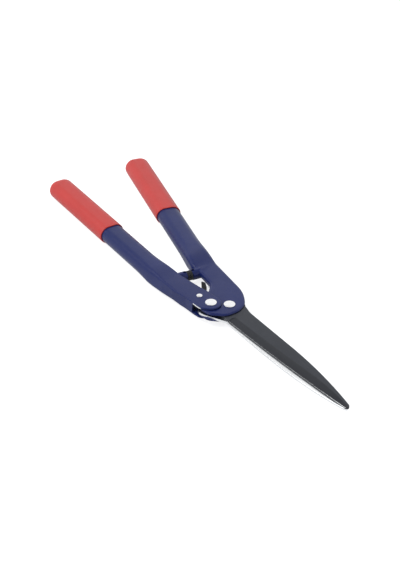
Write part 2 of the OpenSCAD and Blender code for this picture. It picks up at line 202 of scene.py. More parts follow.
def rounded(corners):
    """An open path through (x, y, radius) corners, with arcs of 12 steps at the rounded ones."""
    path = [np.array(corners[0][:2], float)]
    for before, here, after in zip(corners, corners[1:], corners[2:]):
        a, b, c = (np.array(p[:2], float) for p in (before, here, after))
        radius = here[2]
        if radius == 0:
            path.append(b)
            continue
        u = (a - b) / np.linalg.norm(a - b)
        v = (c - b) / np.linalg.norm(c - b)
        half = math.acos(np.clip(u @ v, -1, 1)) / 2
        middle = b + (u + v) / np.linalg.norm(u + v) * radius / math.sin(half)
        first = b + u * radius / math.tan(half) - middle
        turn = -math.copysign(math.pi - 2 * half, u[0] * v[1] - u[1] * v[0])
        for step in range(13):
            s, k = math.sin(turn * step / 12), math.cos(turn * step / 12)
            path.append(middle + np.array([first[0] * k - first[1] * s, first[0] * s + first[1] * k]))
    path.append(np.array(corners[-1][:2], float))
    return path


def spread(path, count):
    """The same path as count evenly spaced points."""
    path = np.array(path, float)
    gaps = np.linalg.norm(np.diff(path, axis=0), axis=1)
    path = path[np.r_[True, gaps > 1e-6]]
    run = np.r_[0, np.cumsum(np.linalg.norm(np.diff(path, axis=0), axis=1))]
    at = np.linspace(0, run[-1], count)
    return np.c_[np.interp(at, run, path[:, 0]), np.interp(at, run, path[:, 1])]


def inward(path):
    """Unit normals to the left of an open path."""
    along = np.gradient(path, axis=0)
    along /= np.linalg.norm(along, axis=1)[:, None]
    return np.c_[-along[:, 1], along[:, 0]]


# ---------------------------------------------------------------- meshes

def new_object(name, points, faces):
    """An object from points in millimetres, with doubles merged and faces turned outwards."""
    mesh = bpy.data.meshes.new(name)
    mesh.from_pydata([tuple(float(c) * MM for c in p) for p in points], [], faces)
    build = bmesh.new()
    build.from_mesh(mesh)
    bmesh.ops.remove_doubles(build, verts=build.verts, dist=2e-6)
    bmesh.ops.dissolve_degenerate(build, edges=build.edges, dist=1e-6)
    bmesh.ops.recalc_face_normals(build, faces=build.faces)
    build.to_mesh(mesh)
    build.free()
    obj = bpy.data.objects.new(name, mesh)
    bpy.context.scene.collection.objects.link(obj)
    return obj


def bake(obj):
    """Turns an object's modifiers into its mesh."""
    graph = bpy.context.evaluated_depsgraph_get()
    mesh = bpy.data.meshes.new_from_object(obj.evaluated_get(graph))
    obj.modifiers.clear()
    obj.data = mesh


def combine(obj, others, operation):
    """Joins other closed meshes to an object, or cuts them from it, and removes them."""
    for other in others:
        modifier = obj.modifiers.new("combine", "BOOLEAN")
        modifier.object = other
        modifier.operation = operation
        modifier.solver = "EXACT"
        bake(obj)
        bpy.data.objects.remove(other)
    return obj


def soften(obj, width, segments=2):
    """Rounds the sharp edges of a mesh, or with one segment chamfers them."""
    modifier = obj.modifiers.new("soften", "BEVEL")
    modifier.width = width * MM
    modifier.segments = segments
    modifier.limit_method = "ANGLE"
    modifier.angle_limit = math.radians(35)
    modifier.use_clamp_overlap = True
    bake(obj)
    return obj


def smooth(obj, angle):
    obj.data.polygons.foreach_set("use_smooth", [True] * len(obj.data.polygons))
    obj.data.set_sharp_from_angle(angle=math.radians(angle))
    return obj


def lathe(name, profile, segments=96, at=(0, 0, 0), matrix=None):
    """A closed solid of revolution from (radius, height) pairs, ending on its axis at both ends."""
    points, faces = [], []
    rows = len(profile)
    for s in range(segments):
        a = 2 * math.pi * s / segments
        points += [(r * math.cos(a), r * math.sin(a), z) for r, z in profile]
    for s in range(segments):
        n = (s + 1) % segments
        faces += [(s * rows + k, n * rows + k, n * rows + k + 1, s * rows + k + 1) for k in range(rows - 1)]
    obj = new_object(name, points, faces)
    obj.data.transform(Matrix.Translation(Vector(at) * MM) @ (matrix or Matrix.Identity(4)))
    return obj


def prism(name, outline, z0, z1):
    count = len(outline)
    points = [(x, y, z0) for x, y in outline] + [(x, y, z1) for x, y in outline]
    faces = [tuple(reversed(range(count))), tuple(range(count, 2 * count))]
    faces += [(k, (k + 1) % count, count + (k + 1) % count, count + k) for k in range(count)]
    return new_object(name, points, faces)


def rod(name, radius, z0, z1, at, segments=96):
    return lathe(name, [(0, z0), (radius, z0), (radius, z1), (0, z1)], segments, (at[0], at[1], 0))


def loft(name, rows):
    """A closed solid through rings of points, with flat ends."""
    size = len(rows[0])
    points = [p for row in rows for p in row]
    faces = [tuple(range(size)), tuple(range((len(rows) - 1) * size, len(rows) * size))]
    for r in range(len(rows) - 1):
        for k in range(size):
            n = (k + 1) % size
            faces.append((r * size + k, (r + 1) * size + k, (r + 1) * size + n, r * size + n))
    return new_object(name, points, faces)


def pressed_shell(name, outer, inner, nose, z_top, z_bottom, rim_width, rim_drop, flare, steps=9):
    """A flattened tube over a plan, closed in front and cut square at its rear.

    outer and inner are its two sides, station by station from the rear, and nose is the way
    round the front from one to the other. Its rim is a quarter ellipse, rim_width wide and
    rim_drop deep, both given as functions of the points. A flare gives how far the upper rim is
    tucked in, the lower one leans out, and its foot hangs down."""
    path = np.vstack([outer, nose[1:-1], inner[::-1]])
    normal = inward(path)
    width, drop = rim_width(path), rim_drop(path)
    high, low = z_top(path[:, 0]), z_bottom(path[:, 0])
    tuck, lean, foot = flare(path)
    turns = np.linspace(0, math.pi / 2, steps)
    rows = [np.c_[path + normal * (width - lean + FLARE_LIP)[:, None], low]]
    for turn in turns[::-1]:
        flat = path + normal * (width * (1 - math.cos(turn)) - lean)[:, None]
        rows.append(np.c_[flat, low - foot + drop * (1 - math.sin(turn))])
    for turn in turns:
        flat = path + normal * (width * (1 - math.cos(turn)) + tuck)[:, None]
        rows.append(np.c_[flat, high - drop * (1 - math.sin(turn))])
    count, last = len(path), len(rows) - 1
    points = np.vstack(rows)

    def at(row, k):
        return row * count + k

    faces = [
        (at(j, k), at(j, k + 1), at(j + 1, k + 1), at(j + 1, k))
        for j in range(last) for k in range(count - 1)
    ]
    stations = len(outer)
    for k in range(stations - 1):
        far, near = count - 1 - k, count - 2 - k
        faces.append((at(last, k), at(last, k + 1), at(last, near), at(last, far)))
        faces.append((at(0, far), at(0, near), at(0, k + 1), at(0, k)))
    head = range(stations - 1, count - stations + 1)
    faces.append(tuple(at(last, k) for k in head))
    faces.append(tuple(at(0, k) for k in reversed(head)))
    rear = [at(j, 0) for j in range(last + 1)]
    rear += [at(j, count - 1) for j in range(last, -1, -1)]
    faces.append(tuple(rear))
    return new_object(name, points, faces)


# ---------------------------------------------------------------- materials

class Surface:
    """A procedural material: a Principled shader and the nodes that feed it."""

    def __init__(self, name, **sockets):
        self.material = bpy.data.materials.new(name)
        self.material.use_nodes = True
        self.tree = self.material.node_tree
        self.shader = self.tree.nodes["Principled BSDF"]
        for key, value in sockets.items():
            self.shader.inputs[key.replace("_", " ")].default_value = value
        self.place = self.tree.nodes.new("ShaderNodeTexCoord").outputs["Object"]

    def node(self, kind, **settings):
        node = self.tree.nodes.new("ShaderNode" + kind)
        for key, value in settings.items():
            setattr(node, key, value)
        return node

    def link(self, source, target):
        self.tree.links.new(source, target)

    def stretched(self, scale, turn=0):
        """The object's coordinates, scaled for a noise that is longer one way than another."""
        mapping = self.node("Mapping")
        mapping.inputs["Scale"].default_value = scale
        mapping.inputs["Rotation"].default_value = (0, 0, turn)
        self.link(self.place, mapping.inputs["Vector"])
        return mapping.outputs["Vector"]

    def noise(self, scale, detail=4, roughness=0.55, place=None):
        noise = self.node("TexNoise")
        noise.inputs["Scale"].default_value = scale
        noise.inputs["Detail"].default_value = detail
        noise.inputs["Roughness"].default_value = roughness
        self.link(place or self.place, noise.inputs["Vector"])
        return noise.outputs["Fac"]

    def span(self, source, low, high, start=0.3, end=0.7):
        """Maps a noise from start..end to low..high."""
        span = self.node("MapRange")
        for key, value in (("From Min", start), ("From Max", end), ("To Min", low), ("To Max", high)):
            span.inputs[key].default_value = value
        self.link(source, span.inputs["Value"])
        return span.outputs["Result"]

    def blend(self, factor, first, second):
        mix = self.node("Mix", data_type="RGBA")
        self.link(factor, mix.inputs["Factor"])
        for socket, colour in (("A", first), ("B", second)):
            target = next(i for i in mix.inputs if i.name == socket and i.type == "RGBA")
            if isinstance(colour, bpy.types.NodeSocket):
                self.link(colour, target)
            else:
                target.default_value = colour
        return next(o for o in mix.outputs if o.type == "RGBA")

    def mottled(self, noise, colour, low, high):
        """A colour that varies with a noise from low to high times its strength."""
        return self.blend(self.span(noise, 0, 1), shade(colour, low), shade(colour, high))

    def plus(self, *sources):
        total = sources[0]
        for source in sources[1:]:
            add = self.node("Math", operation="ADD")
            self.link(total, add.inputs[0])
            self.link(source, add.inputs[1])
            total = add.outputs[0]
        return total

    def colour(self, source):
        self.link(source, self.shader.inputs["Base Color"])

    def rough(self, source):
        self.link(source, self.shader.inputs["Roughness"])

    def bump(self, source, distance, strength=1.0):
        bump = self.node("Bump")
        bump.inputs["Distance"].default_value = distance * MM
        bump.inputs["Strength"].default_value = strength
        self.link(source, bump.inputs["Height"])
        self.link(bump.outputs["Normal"], self.shader.inputs["Normal"])


def shade(colour, factor):
    return (*(min(1, c * factor) for c in colour), 1)


def powder_coat():
    """Smooth dark blue powder coat with a fine orange peel."""
    blue = (0.011, 0.021, 0.125)
    surface = Surface("blue powder coat", IOR=1.4)
    surface.colour(surface.mottled(surface.noise(26, 5), blue, 0.93, 1.08))
    surface.rough(surface.span(surface.noise(140, 6, 0.65), 0.28, 0.4))
    peel = surface.span(surface.noise(620, 2, 0.4), 0, 1)
    speck = surface.span(surface.noise(2600, 2, 0.5), 0, 0.25)
    surface.bump(surface.plus(peel, speck), 0.02, 0.7)
    return surface.material


def dipped_vinyl():
    """Matte red dipped vinyl with a fine grain."""
    red = (0.64, 0.04, 0.033)
    surface = Surface("red vinyl", Specular_IOR_Level=0.55)
    surface.colour(surface.mottled(surface.noise(34, 5), red, 0.94, 1.05))
    surface.rough(surface.span(surface.noise(180, 6, 0.7), 0.36, 0.48))
    grain = surface.span(surface.noise(1500, 3, 0.6), 0, 1)
    flow = surface.span(surface.noise(160, 3, 0.5), 0, 1.2)
    surface.bump(surface.plus(grain, flow), 0.025, 0.6)
    return surface.material


def dark_coating(name, painted_shade_factor=1.0):
    """Satin dark grey coating over ground steel, with the grinding marks showing through. Behind the pivots
    it is painted near black with less sheen, as painted shade between the head's plates. A factor under 1
    darkens it all as painted shade."""
    grey, painted_shade_black = shade((0.031, 0.035, 0.046), painted_shade_factor)[:3], (0.006, 0.006, 0.007)
    surface = Surface(name)
    clean = surface.mottled(surface.noise(40, 6, 0.6), grey, 0.9, 1.12)
    split = surface.node("SeparateXYZ")
    surface.link(surface.place, split.inputs[0])
    # Painted shade: behind the pivots the tail turns near black and loses its sheen, for the shade between
    # the head's plates
    painted_shade_mask = surface.span(split.outputs["X"], 1, 0, PAINTED_SHADE_FROM, PAINTED_SHADE_TO)
    surface.colour(surface.blend(painted_shade_mask, clean, shade(painted_shade_black, 1)))
    surface.link(surface.span(painted_shade_mask, 0.2, 0, 0, 1), surface.shader.inputs["Metallic"])
    surface.link(surface.span(painted_shade_mask, 0.5, 0.15, 0, 1), surface.shader.inputs["Specular IOR Level"])
    marks = surface.noise(1, 5, 0.7, surface.stretched((900, 45, 200)))
    surface.rough(surface.plus(surface.span(marks, 0.34, 0.46), surface.span(surface.noise(60), -0.03, 0.03)))
    surface.bump(surface.span(marks, 0, 1), 0.008, 0.6)
    return surface.material


def bright_steel():
    """Bright ground blade steel, with fine marks across the blade."""
    grey = (0.9, 0.91, 0.92)
    surface = Surface("bright blade steel", Metallic=1.0)
    surface.colour(surface.mottled(surface.noise(50, 5), grey, 0.95, 1.03))
    marks = surface.noise(1, 5, 0.7, surface.stretched((1400, 60, 300)))
    surface.rough(surface.span(marks, 0.2, 0.34))
    surface.bump(surface.span(marks, 0, 1), 0.006, 0.5)
    return surface.material


def plated_steel():
    """Polished plated steel of bolts, nuts and pins."""
    grey = (0.92, 0.92, 0.93)
    surface = Surface("plated steel", Metallic=1.0)
    surface.colour(surface.mottled(surface.noise(260, 5), grey, 0.95, 1.04))
    surface.rough(surface.span(surface.noise(900, 5, 0.7), 0.12, 0.24))
    surface.bump(surface.noise(1200, 4, 0.6), 0.006, 0.4)
    return surface.material


def natural_nylon():
    """Cream nylon of the washers."""
    cream = (0.72, 0.71, 0.66)
    surface = Surface("natural nylon", Specular_IOR_Level=0.5, Subsurface_Weight=0.05)
    surface.colour(surface.mottled(surface.noise(300, 4), cream, 0.94, 1.04))
    surface.rough(surface.span(surface.noise(700, 4), 0.35, 0.5))
    surface.bump(surface.noise(1800, 3), 0.01, 0.4)
    return surface.material


def black_rubber():
    """Buffer rubber, slightly dusty, with a moulded grain."""
    black = (0.016, 0.017, 0.018)
    surface = Surface("buffer rubber", Specular_IOR_Level=0.5)
    dust = surface.span(surface.noise(420, 6, 0.65), 0, 0.35, 0.45, 0.8)
    surface.colour(surface.blend(dust, shade(black, 1), (0.06, 0.06, 0.055, 1)))
    surface.rough(surface.span(surface.noise(500, 5), 0.45, 0.62))
    surface.bump(surface.noise(1600, 4, 0.6), 0.03, 0.6)
    return surface.material


def black_plastic():
    """Moulded plastic of the tubes' plugs."""
    black = (0.02, 0.02, 0.022)
    surface = Surface("moulded black plastic", Specular_IOR_Level=0.5)
    surface.colour(surface.mottled(surface.noise(300, 4), black, 0.85, 1.25))
    surface.rough(surface.span(surface.noise(500, 4), 0.4, 0.55))
    surface.bump(surface.noise(2000, 3), 0.015, 0.5)
    return surface.material


def finish_with(obj, material):
    obj.data.materials.clear()
    obj.data.materials.append(material)
    return obj


def piece(obj, node, body, material, angle=30):
    """Gives a finished piece its material and its body, and hides the CAD node that it stands for."""
    smooth(finish_with(obj, material), angle)
    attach(obj, body)
    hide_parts(node)
    return obj


# ---------------------------------------------------------------- handles

def tube_sides(neck, angle, front_outer, front_inner, count=110):
    """Both sides of a handle, station by station from the tube's rear end to the head, where
    each follows its front corners."""
    along, across = polar(1, angle), polar(1, angle + math.pi / 2)
    sides = []
    for sign, front in ((1, front_outer), (-1, front_inner)):
        start = np.array(neck) + sign * across * TUBE_W / 2
        rear = start + along * TUBE_LEN
        corners = [(*rear, 0), (*start, 35), *front]
        sides.append(spread(rounded(corners), count))
    return sides


def flattening(path):
    """How far the round of a tube's rim has given way to the head's, along the neck."""
    return ease(path[:, 0], NECK_X - 30, NECK_END_X + 2)


def rim_size(path, head):
    """The size of a rim, which goes from the tube's to the head's along the neck."""
    return TUBE_H / 2 + (head - TUBE_H / 2) * flattening(path)


def neck_height(tube, head):
    return lambda x: tube + (head - tube) * ease(x, NECK_X - 3, NECK_END_X + 2)


# Plan of the left head: straight sides, and a round lobe on the handle pivot
LEFT_LOBE_R = 12
LEFT_OUTER = [(-66, -23), (-24, -17.4), (0.5, -16.2)]
LEFT_INNER = [(-66, 3.8), (-33, 8.3), (-20, 10.9)]
LEFT_CREASE_Y = -17.5
FLARE_LEAN = 0.8
FLARE_FOOT = 0.4
FLARE_LIP = 1.6
PLATE_RIM = 1.1
NOTCH = (-11, 1.5)
CREASE_R = 3


def left_nose():
    """Round the left head, from its outer side at the neck's end to its inner side."""
    def touch(p, sign):
        return math.degrees(math.atan2(p[1], p[0]) + sign * math.acos(LEFT_LOBE_R / math.hypot(*p)))
    start, end = touch(LEFT_OUTER[2], 1), touch(LEFT_INNER[2], -1)
    corners = [(*LEFT_OUTER[0], 0), (*LEFT_OUTER[1], 30), (*LEFT_OUTER[2], 10)]
    path = rounded([*corners, (*polar(LEFT_LOBE_R, math.radians(start)), 0)])
    path += arc((0, 0), LEFT_LOBE_R, start, end, 48)
    path += rounded([(*path[-1], 0), (*LEFT_INNER[2], 40), (*LEFT_INNER[1], 60), (*LEFT_INNER[0], 0)])
    return spread(path, 220)


def crease_room(path):
    """How far the outer side of the left head lies outside the crease along its upper rim."""
    x, y = path.T
    return np.where((x > -24) | (y > 0), 0, np.clip(LEFT_CREASE_Y - y, 0, 7))


def left_flare(path):
    """The outer side of the left head leans out from its crease to its foot, which stands a
    little lower than the lower plate."""
    x, y = path.T
    tuck = np.clip(crease_room(path) - CREASE_R, 0, 7) * flattening(path)
    lean = FLARE_LEAN * ease(x, -96, -60) * (1 - ease(x, -14, 9)) * (y < -6)
    foot = FLARE_FOOT * ease(x, -96, -70) * (1 - ease(x, -10, 6)) * (y < -6)
    return tuck, lean, foot


def left_handle():
    """The left handle with its two-plate head, its bores and its buffer's boss."""
    outer, inner = tube_sides(LEFT_NECK, LEFT_ANGLE, [(*LEFT_OUTER[0], 0)], [(*LEFT_INNER[0], 0)])
    nose = left_nose()

    def rim(path):
        return rim_size(path, np.clip(crease_room(path), PLATE_RIM, CREASE_R))

    body = pressed_shell(
        "left_handle_shell", outer, inner, nose,
        neck_height(MID_Z + TUBE_H / 2, LEFT_TOP), neck_height(MID_Z - TUBE_H / 2, LEFT_LOW),
        rim, rim, left_flare)
    fork = [
        (-64, 1), (-64, -18), (-45, -17.4), (-24, -15.7), (-12.4, -15.5), (-12, -26),
        (20, -26), (20, 24), (-44, 14), (-50, 1)
    ]
    cuts = [prism("fork", fork, LEFT_LOW + PLATE, LEFT_TOP - PLATE)]
    cuts.append(rod("bore", BOLT_R + CLEARANCE, 0, ABOVE, HANDLE_PIVOT))
    cuts.append(rod("bore", DRIVE_PIN_R + CLEARANCE, 0, ABOVE, DRIVE_PIN))
    combine(body, [buffer_boss(-1)], "UNION")
    combine(body, cuts + boss_cuts(-1), "DIFFERENCE")
    return body


def sheared_edge(handle, steel):
    """Shows bare steel along the sheared edge of the left head's upper plate, over its notch."""
    handle.data.materials.append(steel)
    for face in handle.data.polygons:
        x, y, z = face.center / MM
        if NOTCH[0] < x < NOTCH[1] and y < -9 and LEFT_TOP - PLATE < z < LEFT_TOP and face.normal.y < -0.85:
            face.material_index = 1


# Plan of the right head: wide over both pivots
RIGHT_NOSE = [
    (-66, 28, 0), (-58, 27.6, 12), (-36, 24.4, 14), (-23.5, 12.8, 12), (-13.4, 6.7, 8), (-7.7, -3, 7),
    (-7, -15, 9), (13, -12.8, 10), (27.2, 2, 14), (27.4, 20.5, 24), (19.8, 33.3, 24), (0, 45.6, 60),
    (-66, 53.8, 0)
]
RIGHT_RIM_W = 3.2
FRONT_RIM_LESS = 1.6
RIGHT_RIM_INSET = 0.3
LIP_RIM_W = 3.5
LIP_RIM_DROP = 4
LOWER_PLATE_LEAN = 1.3


def right_flare(path):
    """In front, the lower plate of the right head stands out a little past the upper one."""
    lean = LOWER_PLATE_LEAN * (1 - ease(path[:, 1], -6, 6))
    return np.array([np.zeros(len(path)), lean, np.zeros(len(path))])


def right_nose():
    """Round the right head, from its inner side at the neck's end, past both pivots, to its
    outer side."""
    return spread(rounded(RIGHT_NOSE), 320)


def right_lip(path):
    """Where the right head turns down into a deep lip: on its inner side, behind the pivots."""
    return (1 - ease(path[:, 0], -28, -21)) * (path[:, 1] < 40)


def right_handle():
    """The right handle, whose head's two plates take both blades between them."""
    inner, outer = tube_sides(RIGHT_NECK, RIGHT_ANGLE, [(-77, 26.4, 20), RIGHT_NOSE[0]], [RIGHT_NOSE[-1]])
    nose = right_nose()

    def rim_width(path):
        head = RIGHT_RIM_W - FRONT_RIM_LESS * (1 - ease(path[:, 0], -16, 2)) * (path[:, 1] < 20)
        return rim_size(path, head + (LIP_RIM_W - head) * right_lip(path))

    def rim_drop(path):
        head = PLATE - RIGHT_RIM_INSET
        return rim_size(path, head + (LIP_RIM_DROP - PLATE + RIGHT_RIM_INSET) * right_lip(path))

    body = pressed_shell(
        "right_handle_shell", inner, outer, nose,
        neck_height(MID_Z + TUBE_H / 2, RIGHT_TOP), neck_height(MID_Z - TUBE_H / 2, RIGHT_LOW),
        rim_width, rim_drop, right_flare)
    open_side = [(60, -30), (60, 60), (4, 60), (4, 41.5), (-64, 49), (-64, 32), (-47, 29.3)]
    lip_z = top("lower_blade") + 0.2
    cuts = [prism("fork", open_side + [(-38, 28.4), (-37, -30)], RIGHT_LOW + PLATE, lip_z + 0.1)]
    cuts.append(prism("fork", open_side + [(-35, 28), (-24.5, 19.4), (-25.5, -30)], lip_z, RIGHT_TOP - PLATE))
    cuts.append(rod("bore", BOLT_R + CLEARANCE, 0, ABOVE, HANDLE_PIVOT))
    cuts.append(rod("bore", BOLT_R + CLEARANCE, 0, ABOVE, BLADE_PIVOT))
    combine(body, [buffer_boss(1)], "UNION")
    combine(body, cuts + boss_cuts(1), "DIFFERENCE")
    return body


# ---------------------------------------------------------------- buffers

BOSS_R = 6.5
BUFFER_R = 6
BUFFER_T = 3.3
STEM_R = 3
STEM_LEN = 6
BOSS_REACH = {-1: 15.7, 1: 14.8}
BUFFER_GAP = 0.05
PIN_R = 1.25
PIN_SINK_R = 1.9
BUFFER_AT = (centre("left_buffer") + centre("right_buffer")) / 2
BUFFER_ANGLE = (LEFT_ANGLE + RIGHT_ANGLE) / 2 - math.pi / 2


def on_buffer_line(side):
    """Turns +Z from where the buffers meet into the left (-1) or the right (1) boss."""
    place = Matrix.Translation(BUFFER_AT * MM)
    return place @ Matrix.Rotation(BUFFER_ANGLE, 4, "Z") @ Matrix.Rotation(side * math.pi / 2, 4, "Y")


def on_line(name, profile, side):
    return lathe(name, profile, 60, matrix=on_buffer_line(side))


def quarter(radius, z, r, down=False, steps=6):
    """The profile of a rounded rim of radius r at height z, going outwards or, with down, back in."""
    turns = np.linspace(0, math.pi / 2, steps)
    if down:
        return [(radius - r + r * math.cos(t), z - r + r * math.sin(t)) for t in turns]
    return [(radius - r + r * math.sin(t), z + r - r * math.cos(t)) for t in turns]


def buffer_boss(side):
    """The round boss that holds a buffer, reaching back into its handle."""
    start = BUFFER_T + 0.1
    profile = [(0, start)] + quarter(BOSS_R, start, 0.8)
    profile += [(BOSS_R, BOSS_REACH[side]), (0, BOSS_REACH[side])]
    return on_line("boss", profile, side)


def stem_pin_place(side):
    return on_buffer_line(side) @ Vector((0, 0, (BUFFER_T + 2) * MM)) / MM


def boss_cuts(side):
    """The buffer stem's bore, with the bore of its pin and the wider hollow over the pin's head."""
    radius, depth = STEM_R + CLEARANCE, BUFFER_T + STEM_LEN + 0.5
    stem = on_line("stem_bore", [(0, 0), (radius, 0), (radius, depth), (0, depth)], side)
    step = MID_Z + BOSS_R - PIN_RECESS - 0.2
    pin_r = PIN_R + CLEARANCE
    bore = [(0, 0), (pin_r, 0), (pin_r, step), (PIN_SINK_R, step), (PIN_SINK_R, ABOVE), (0, ABOVE)]
    pin = lathe("pin_bore", bore, 44, (*stem_pin_place(side)[:2], 0))
    return [combine(stem, [pin], "UNION")]


def buffer(side, word):
    profile = [(0, BUFFER_GAP)] + quarter(BUFFER_R, BUFFER_GAP, 0.9)
    profile += [(BUFFER_R, BUFFER_T * 0.45), (BUFFER_R - 0.25, BUFFER_T * 0.5), (BUFFER_R, BUFFER_T * 0.55)]
    profile += quarter(BUFFER_R, BUFFER_T, 0.5, down=True)
    profile += [(STEM_R, BUFFER_T), (STEM_R, BUFFER_T + STEM_LEN), (0, BUFFER_T + STEM_LEN)]
    return on_line(word + "_buffer_pad", profile, side)


# ---------------------------------------------------------------- grips

def stadium(half_w, half_h, count=24):
    """An oval across the handle: two half rounds and the flats between them."""
    flat = half_w - half_h
    ring = []
    for sign, start in ((1, -90), (-1, 90)):
        for a in np.radians(np.linspace(start, start + 180, count)):
            ring.append((sign * flat + half_h * math.cos(a), half_h * math.sin(a)))
    return ring


def grip(name, neck, angle):
    """A dipped vinyl grip: outside from its rounded end to the lip, and back along the tube."""
    half_w, half_h = TUBE_W / 2 + GRIP_WALL, GRIP_H / 2
    sections = []
    end = BARE_LEN + GRIP_LEN
    for turn in np.radians(np.linspace(90, 0, 13)):
        inset = 1 - math.cos(turn)
        sections.append((end + GRIP_END * math.sin(turn), GRIP_END_SIDE * inset, GRIP_END_RISE * inset))
    for x in np.linspace(end - 6, BARE_LEN + 5, 22):
        sections.append((x, 0, 0))
    lip = 0.55
    for turn in np.radians(np.linspace(0, 90, 6)):
        inset = lip - lip * math.cos(turn)
        sections.append((BARE_LEN + lip - lip * math.sin(turn), inset, inset))
    bore = GRIP_WALL - CLEARANCE
    for turn in np.radians(np.linspace(60, 0, 4)):
        inset = bore - 0.3 + 0.3 * math.cos(turn)
        sections.append((BARE_LEN + 0.3 - 0.3 * math.sin(turn), inset, inset))
    sections.append((BARE_LEN + 2, bore, bore))
    sections.append((TUBE_LEN + 1.65, bore, bore))
    along, across = polar(1, angle), polar(1, angle + math.pi / 2)
    rows = []
    for x, inset_w, inset_h in sections:
        middle = np.array(neck) + along * x
        oval = stadium(half_w - inset_w, half_h - inset_h)
        rows.append([(*(middle + across * w), MID_Z + h) for w, h in oval])
    return loft(name, rows)


# ---------------------------------------------------------------- blades

EDGE_T = 1.35
BEVEL_W = [(26, 9.4), (60, 9.8), (110, 10.3), (165, 10.3), (199, 6), (216, 2)]
BEVEL_START = 22.2
STRIP_START = 19
TIP_R = 3.2
CHAMFER_W = 0.7
CHAMFER_DROP = 0.45
LAND_W = 0.25
LAND_RISE = 0.05
SPINE_CHAMFER_W = 0.4
SPINE_CHAMFER_DROP = 0.4
TANG_CHAMFER = 0.9
RUN_OUT = 1.3
LOWER_TIP_SETBACK = 1.2
ROOT_R = 17.8


def bowed(x, y0, y1, bow, skew=0):
    """A shallow arc from y0 at the heel to y1 at the tip, bowed towards -Y, and with a skew
    more so towards its tip."""
    t = (x - HEEL_X) / (BLADE_REACH - HEEL_X)
    return y0 + (y1 - y0) * t - bow * (1 - (2 * t - 1) ** 2) * (1 + skew * (2 * t - 1))


def eased(x, points, reach=9):
    """The height at x of a line through points, with its corners eased over reach."""
    xs, ys = zip(*points)
    return float(np.mean([np.interp(x + s, xs, ys) for s in np.linspace(-reach, reach, 9)]))


def upper_edge(x):
    if x < HEEL_X:
        return EDGE_Y - 0.8 * (HEEL_X - x) / HEEL_X
    return bowed(x, EDGE_Y, EDGE_TIP_Y, EDGE_BOW)


def upper_spine(x):
    line = SPINE_Y - SPINE_LEAN * (x - HEEL_X)
    if x < HEEL_X:
        return line + 0.6 * (HEEL_X - x) / 7
    nose_r = (NOSE_LEN ** 2 + SPINE_DROP ** 2) / (2 * SPINE_DROP)
    along = max(0, x - BLADE_REACH + NOSE_LEN)
    return line - nose_r + math.sqrt(nose_r ** 2 - along ** 2)


def lower_edge(x):
    return -bowed(x, -LOWER_EDGE_Y, -LOWER_EDGE_TIP_Y, LOWER_EDGE_BOW)


def lower_spine(x):
    if x < HEEL_X:
        return LOWER_SPINE_Y + 1.2 * (HEEL_X - x) / 7
    return bowed(x, LOWER_SPINE_Y, LOWER_SPINE_TIP_Y, LOWER_SPINE_BOW, LOWER_SPINE_SKEW)


def stations(reach):
    """Places along a blade, closer together at its heel and round its tip."""
    xs = list(np.linspace(STRIP_START, BEVEL_START - 1.2, 3))
    xs += [BEVEL_START + step for step in (-0.6, -0.3, 0, 0.3, 0.6, 1.2)]
    xs += list(np.linspace(HEEL_X, reach - TIP_R, 96))
    xs += [reach - TIP_R + TIP_R * math.sin(math.radians(a)) for a in (15, 30, 45, 58, 70, 80, 86)]
    return xs


def blade_row(x, reach, edge, spine, back_chamfer):
    """A blade's section at x with its ground side up: the ground side from the cutting edge to
    the spine, then the flat side back, past a chamfer along its spine."""
    at_edge, at_spine = edge(x), spine(x)
    to_spine = math.copysign(1, at_spine - at_edge)
    past = max(0, x - reach + TIP_R) / TIP_R
    if past > 0:
        mid = (at_edge + at_spine) / 2
        half = (at_spine - at_edge) / 2 * math.sqrt(1 - past ** 2)
        at_edge, at_spine = mid - half, mid + half
    width = abs(at_spine - at_edge)
    bevel_w = min(eased(x, BEVEL_W), 0.6 * width)
    chamfer_w = min(CHAMFER_W, 0.3 * width)
    ground = float(ease(x, BEVEL_START - 0.6, BEVEL_START + 0.6))
    row = []
    for u in (0, LAND_W / bevel_w, 0.25, 0.4, 0.55, 0.7, 0.85, 1):
        run_out = RUN_OUT * (1 - (2 * u - 1) ** 2) * (1 - float(ease(x, HEEL_X, HEEL_X + 6)))
        run_out *= float(ease(x, STRIP_START, BEVEL_START - 1))
        height = BLADE_T - ground * (BLADE_T - EDGE_T - LAND_RISE) * (1 - u)
        if u == 0:
            height -= ground * LAND_RISE
        row.append((x - run_out, at_edge + to_spine * u * bevel_w, height))
    chamfer_drop = CHAMFER_DROP * chamfer_w / CHAMFER_W
    row.append((x, at_spine - to_spine * chamfer_w, BLADE_T))
    row.append((x, at_spine, BLADE_T - chamfer_drop))
    row.append((x, at_spine, SPINE_CHAMFER_DROP * back_chamfer * chamfer_w / CHAMFER_W + 0.01))
    row.append((x, at_spine - to_spine * (SPINE_CHAMFER_W * back_chamfer * chamfer_w / CHAMFER_W + 0.01), 0))
    row.append((x, at_edge, 0))
    return row


def blade_front(name, reach, edge, spine, back_chamfer):
    return loft(name, [blade_row(x, reach, edge, spine, back_chamfer) for x in stations(reach)])


def closed(corners):
    """A closed outline through (x, y, radius) corners."""
    ring = [corners[-1], *corners, corners[0]]
    return rounded([(*ring[0][:2], 0), *ring[1:-1], (*ring[-1][:2], 0)])[1:-1]


def merge_flats(obj):
    """Joins the pieces of each flat face that the joins and cuts have left."""
    build = bmesh.new()
    build.from_mesh(obj.data)
    bmesh.ops.dissolve_limit(build, angle_limit=math.radians(0.2), verts=build.verts, edges=build.edges)
    build.to_mesh(obj.data)
    build.free()
    return obj


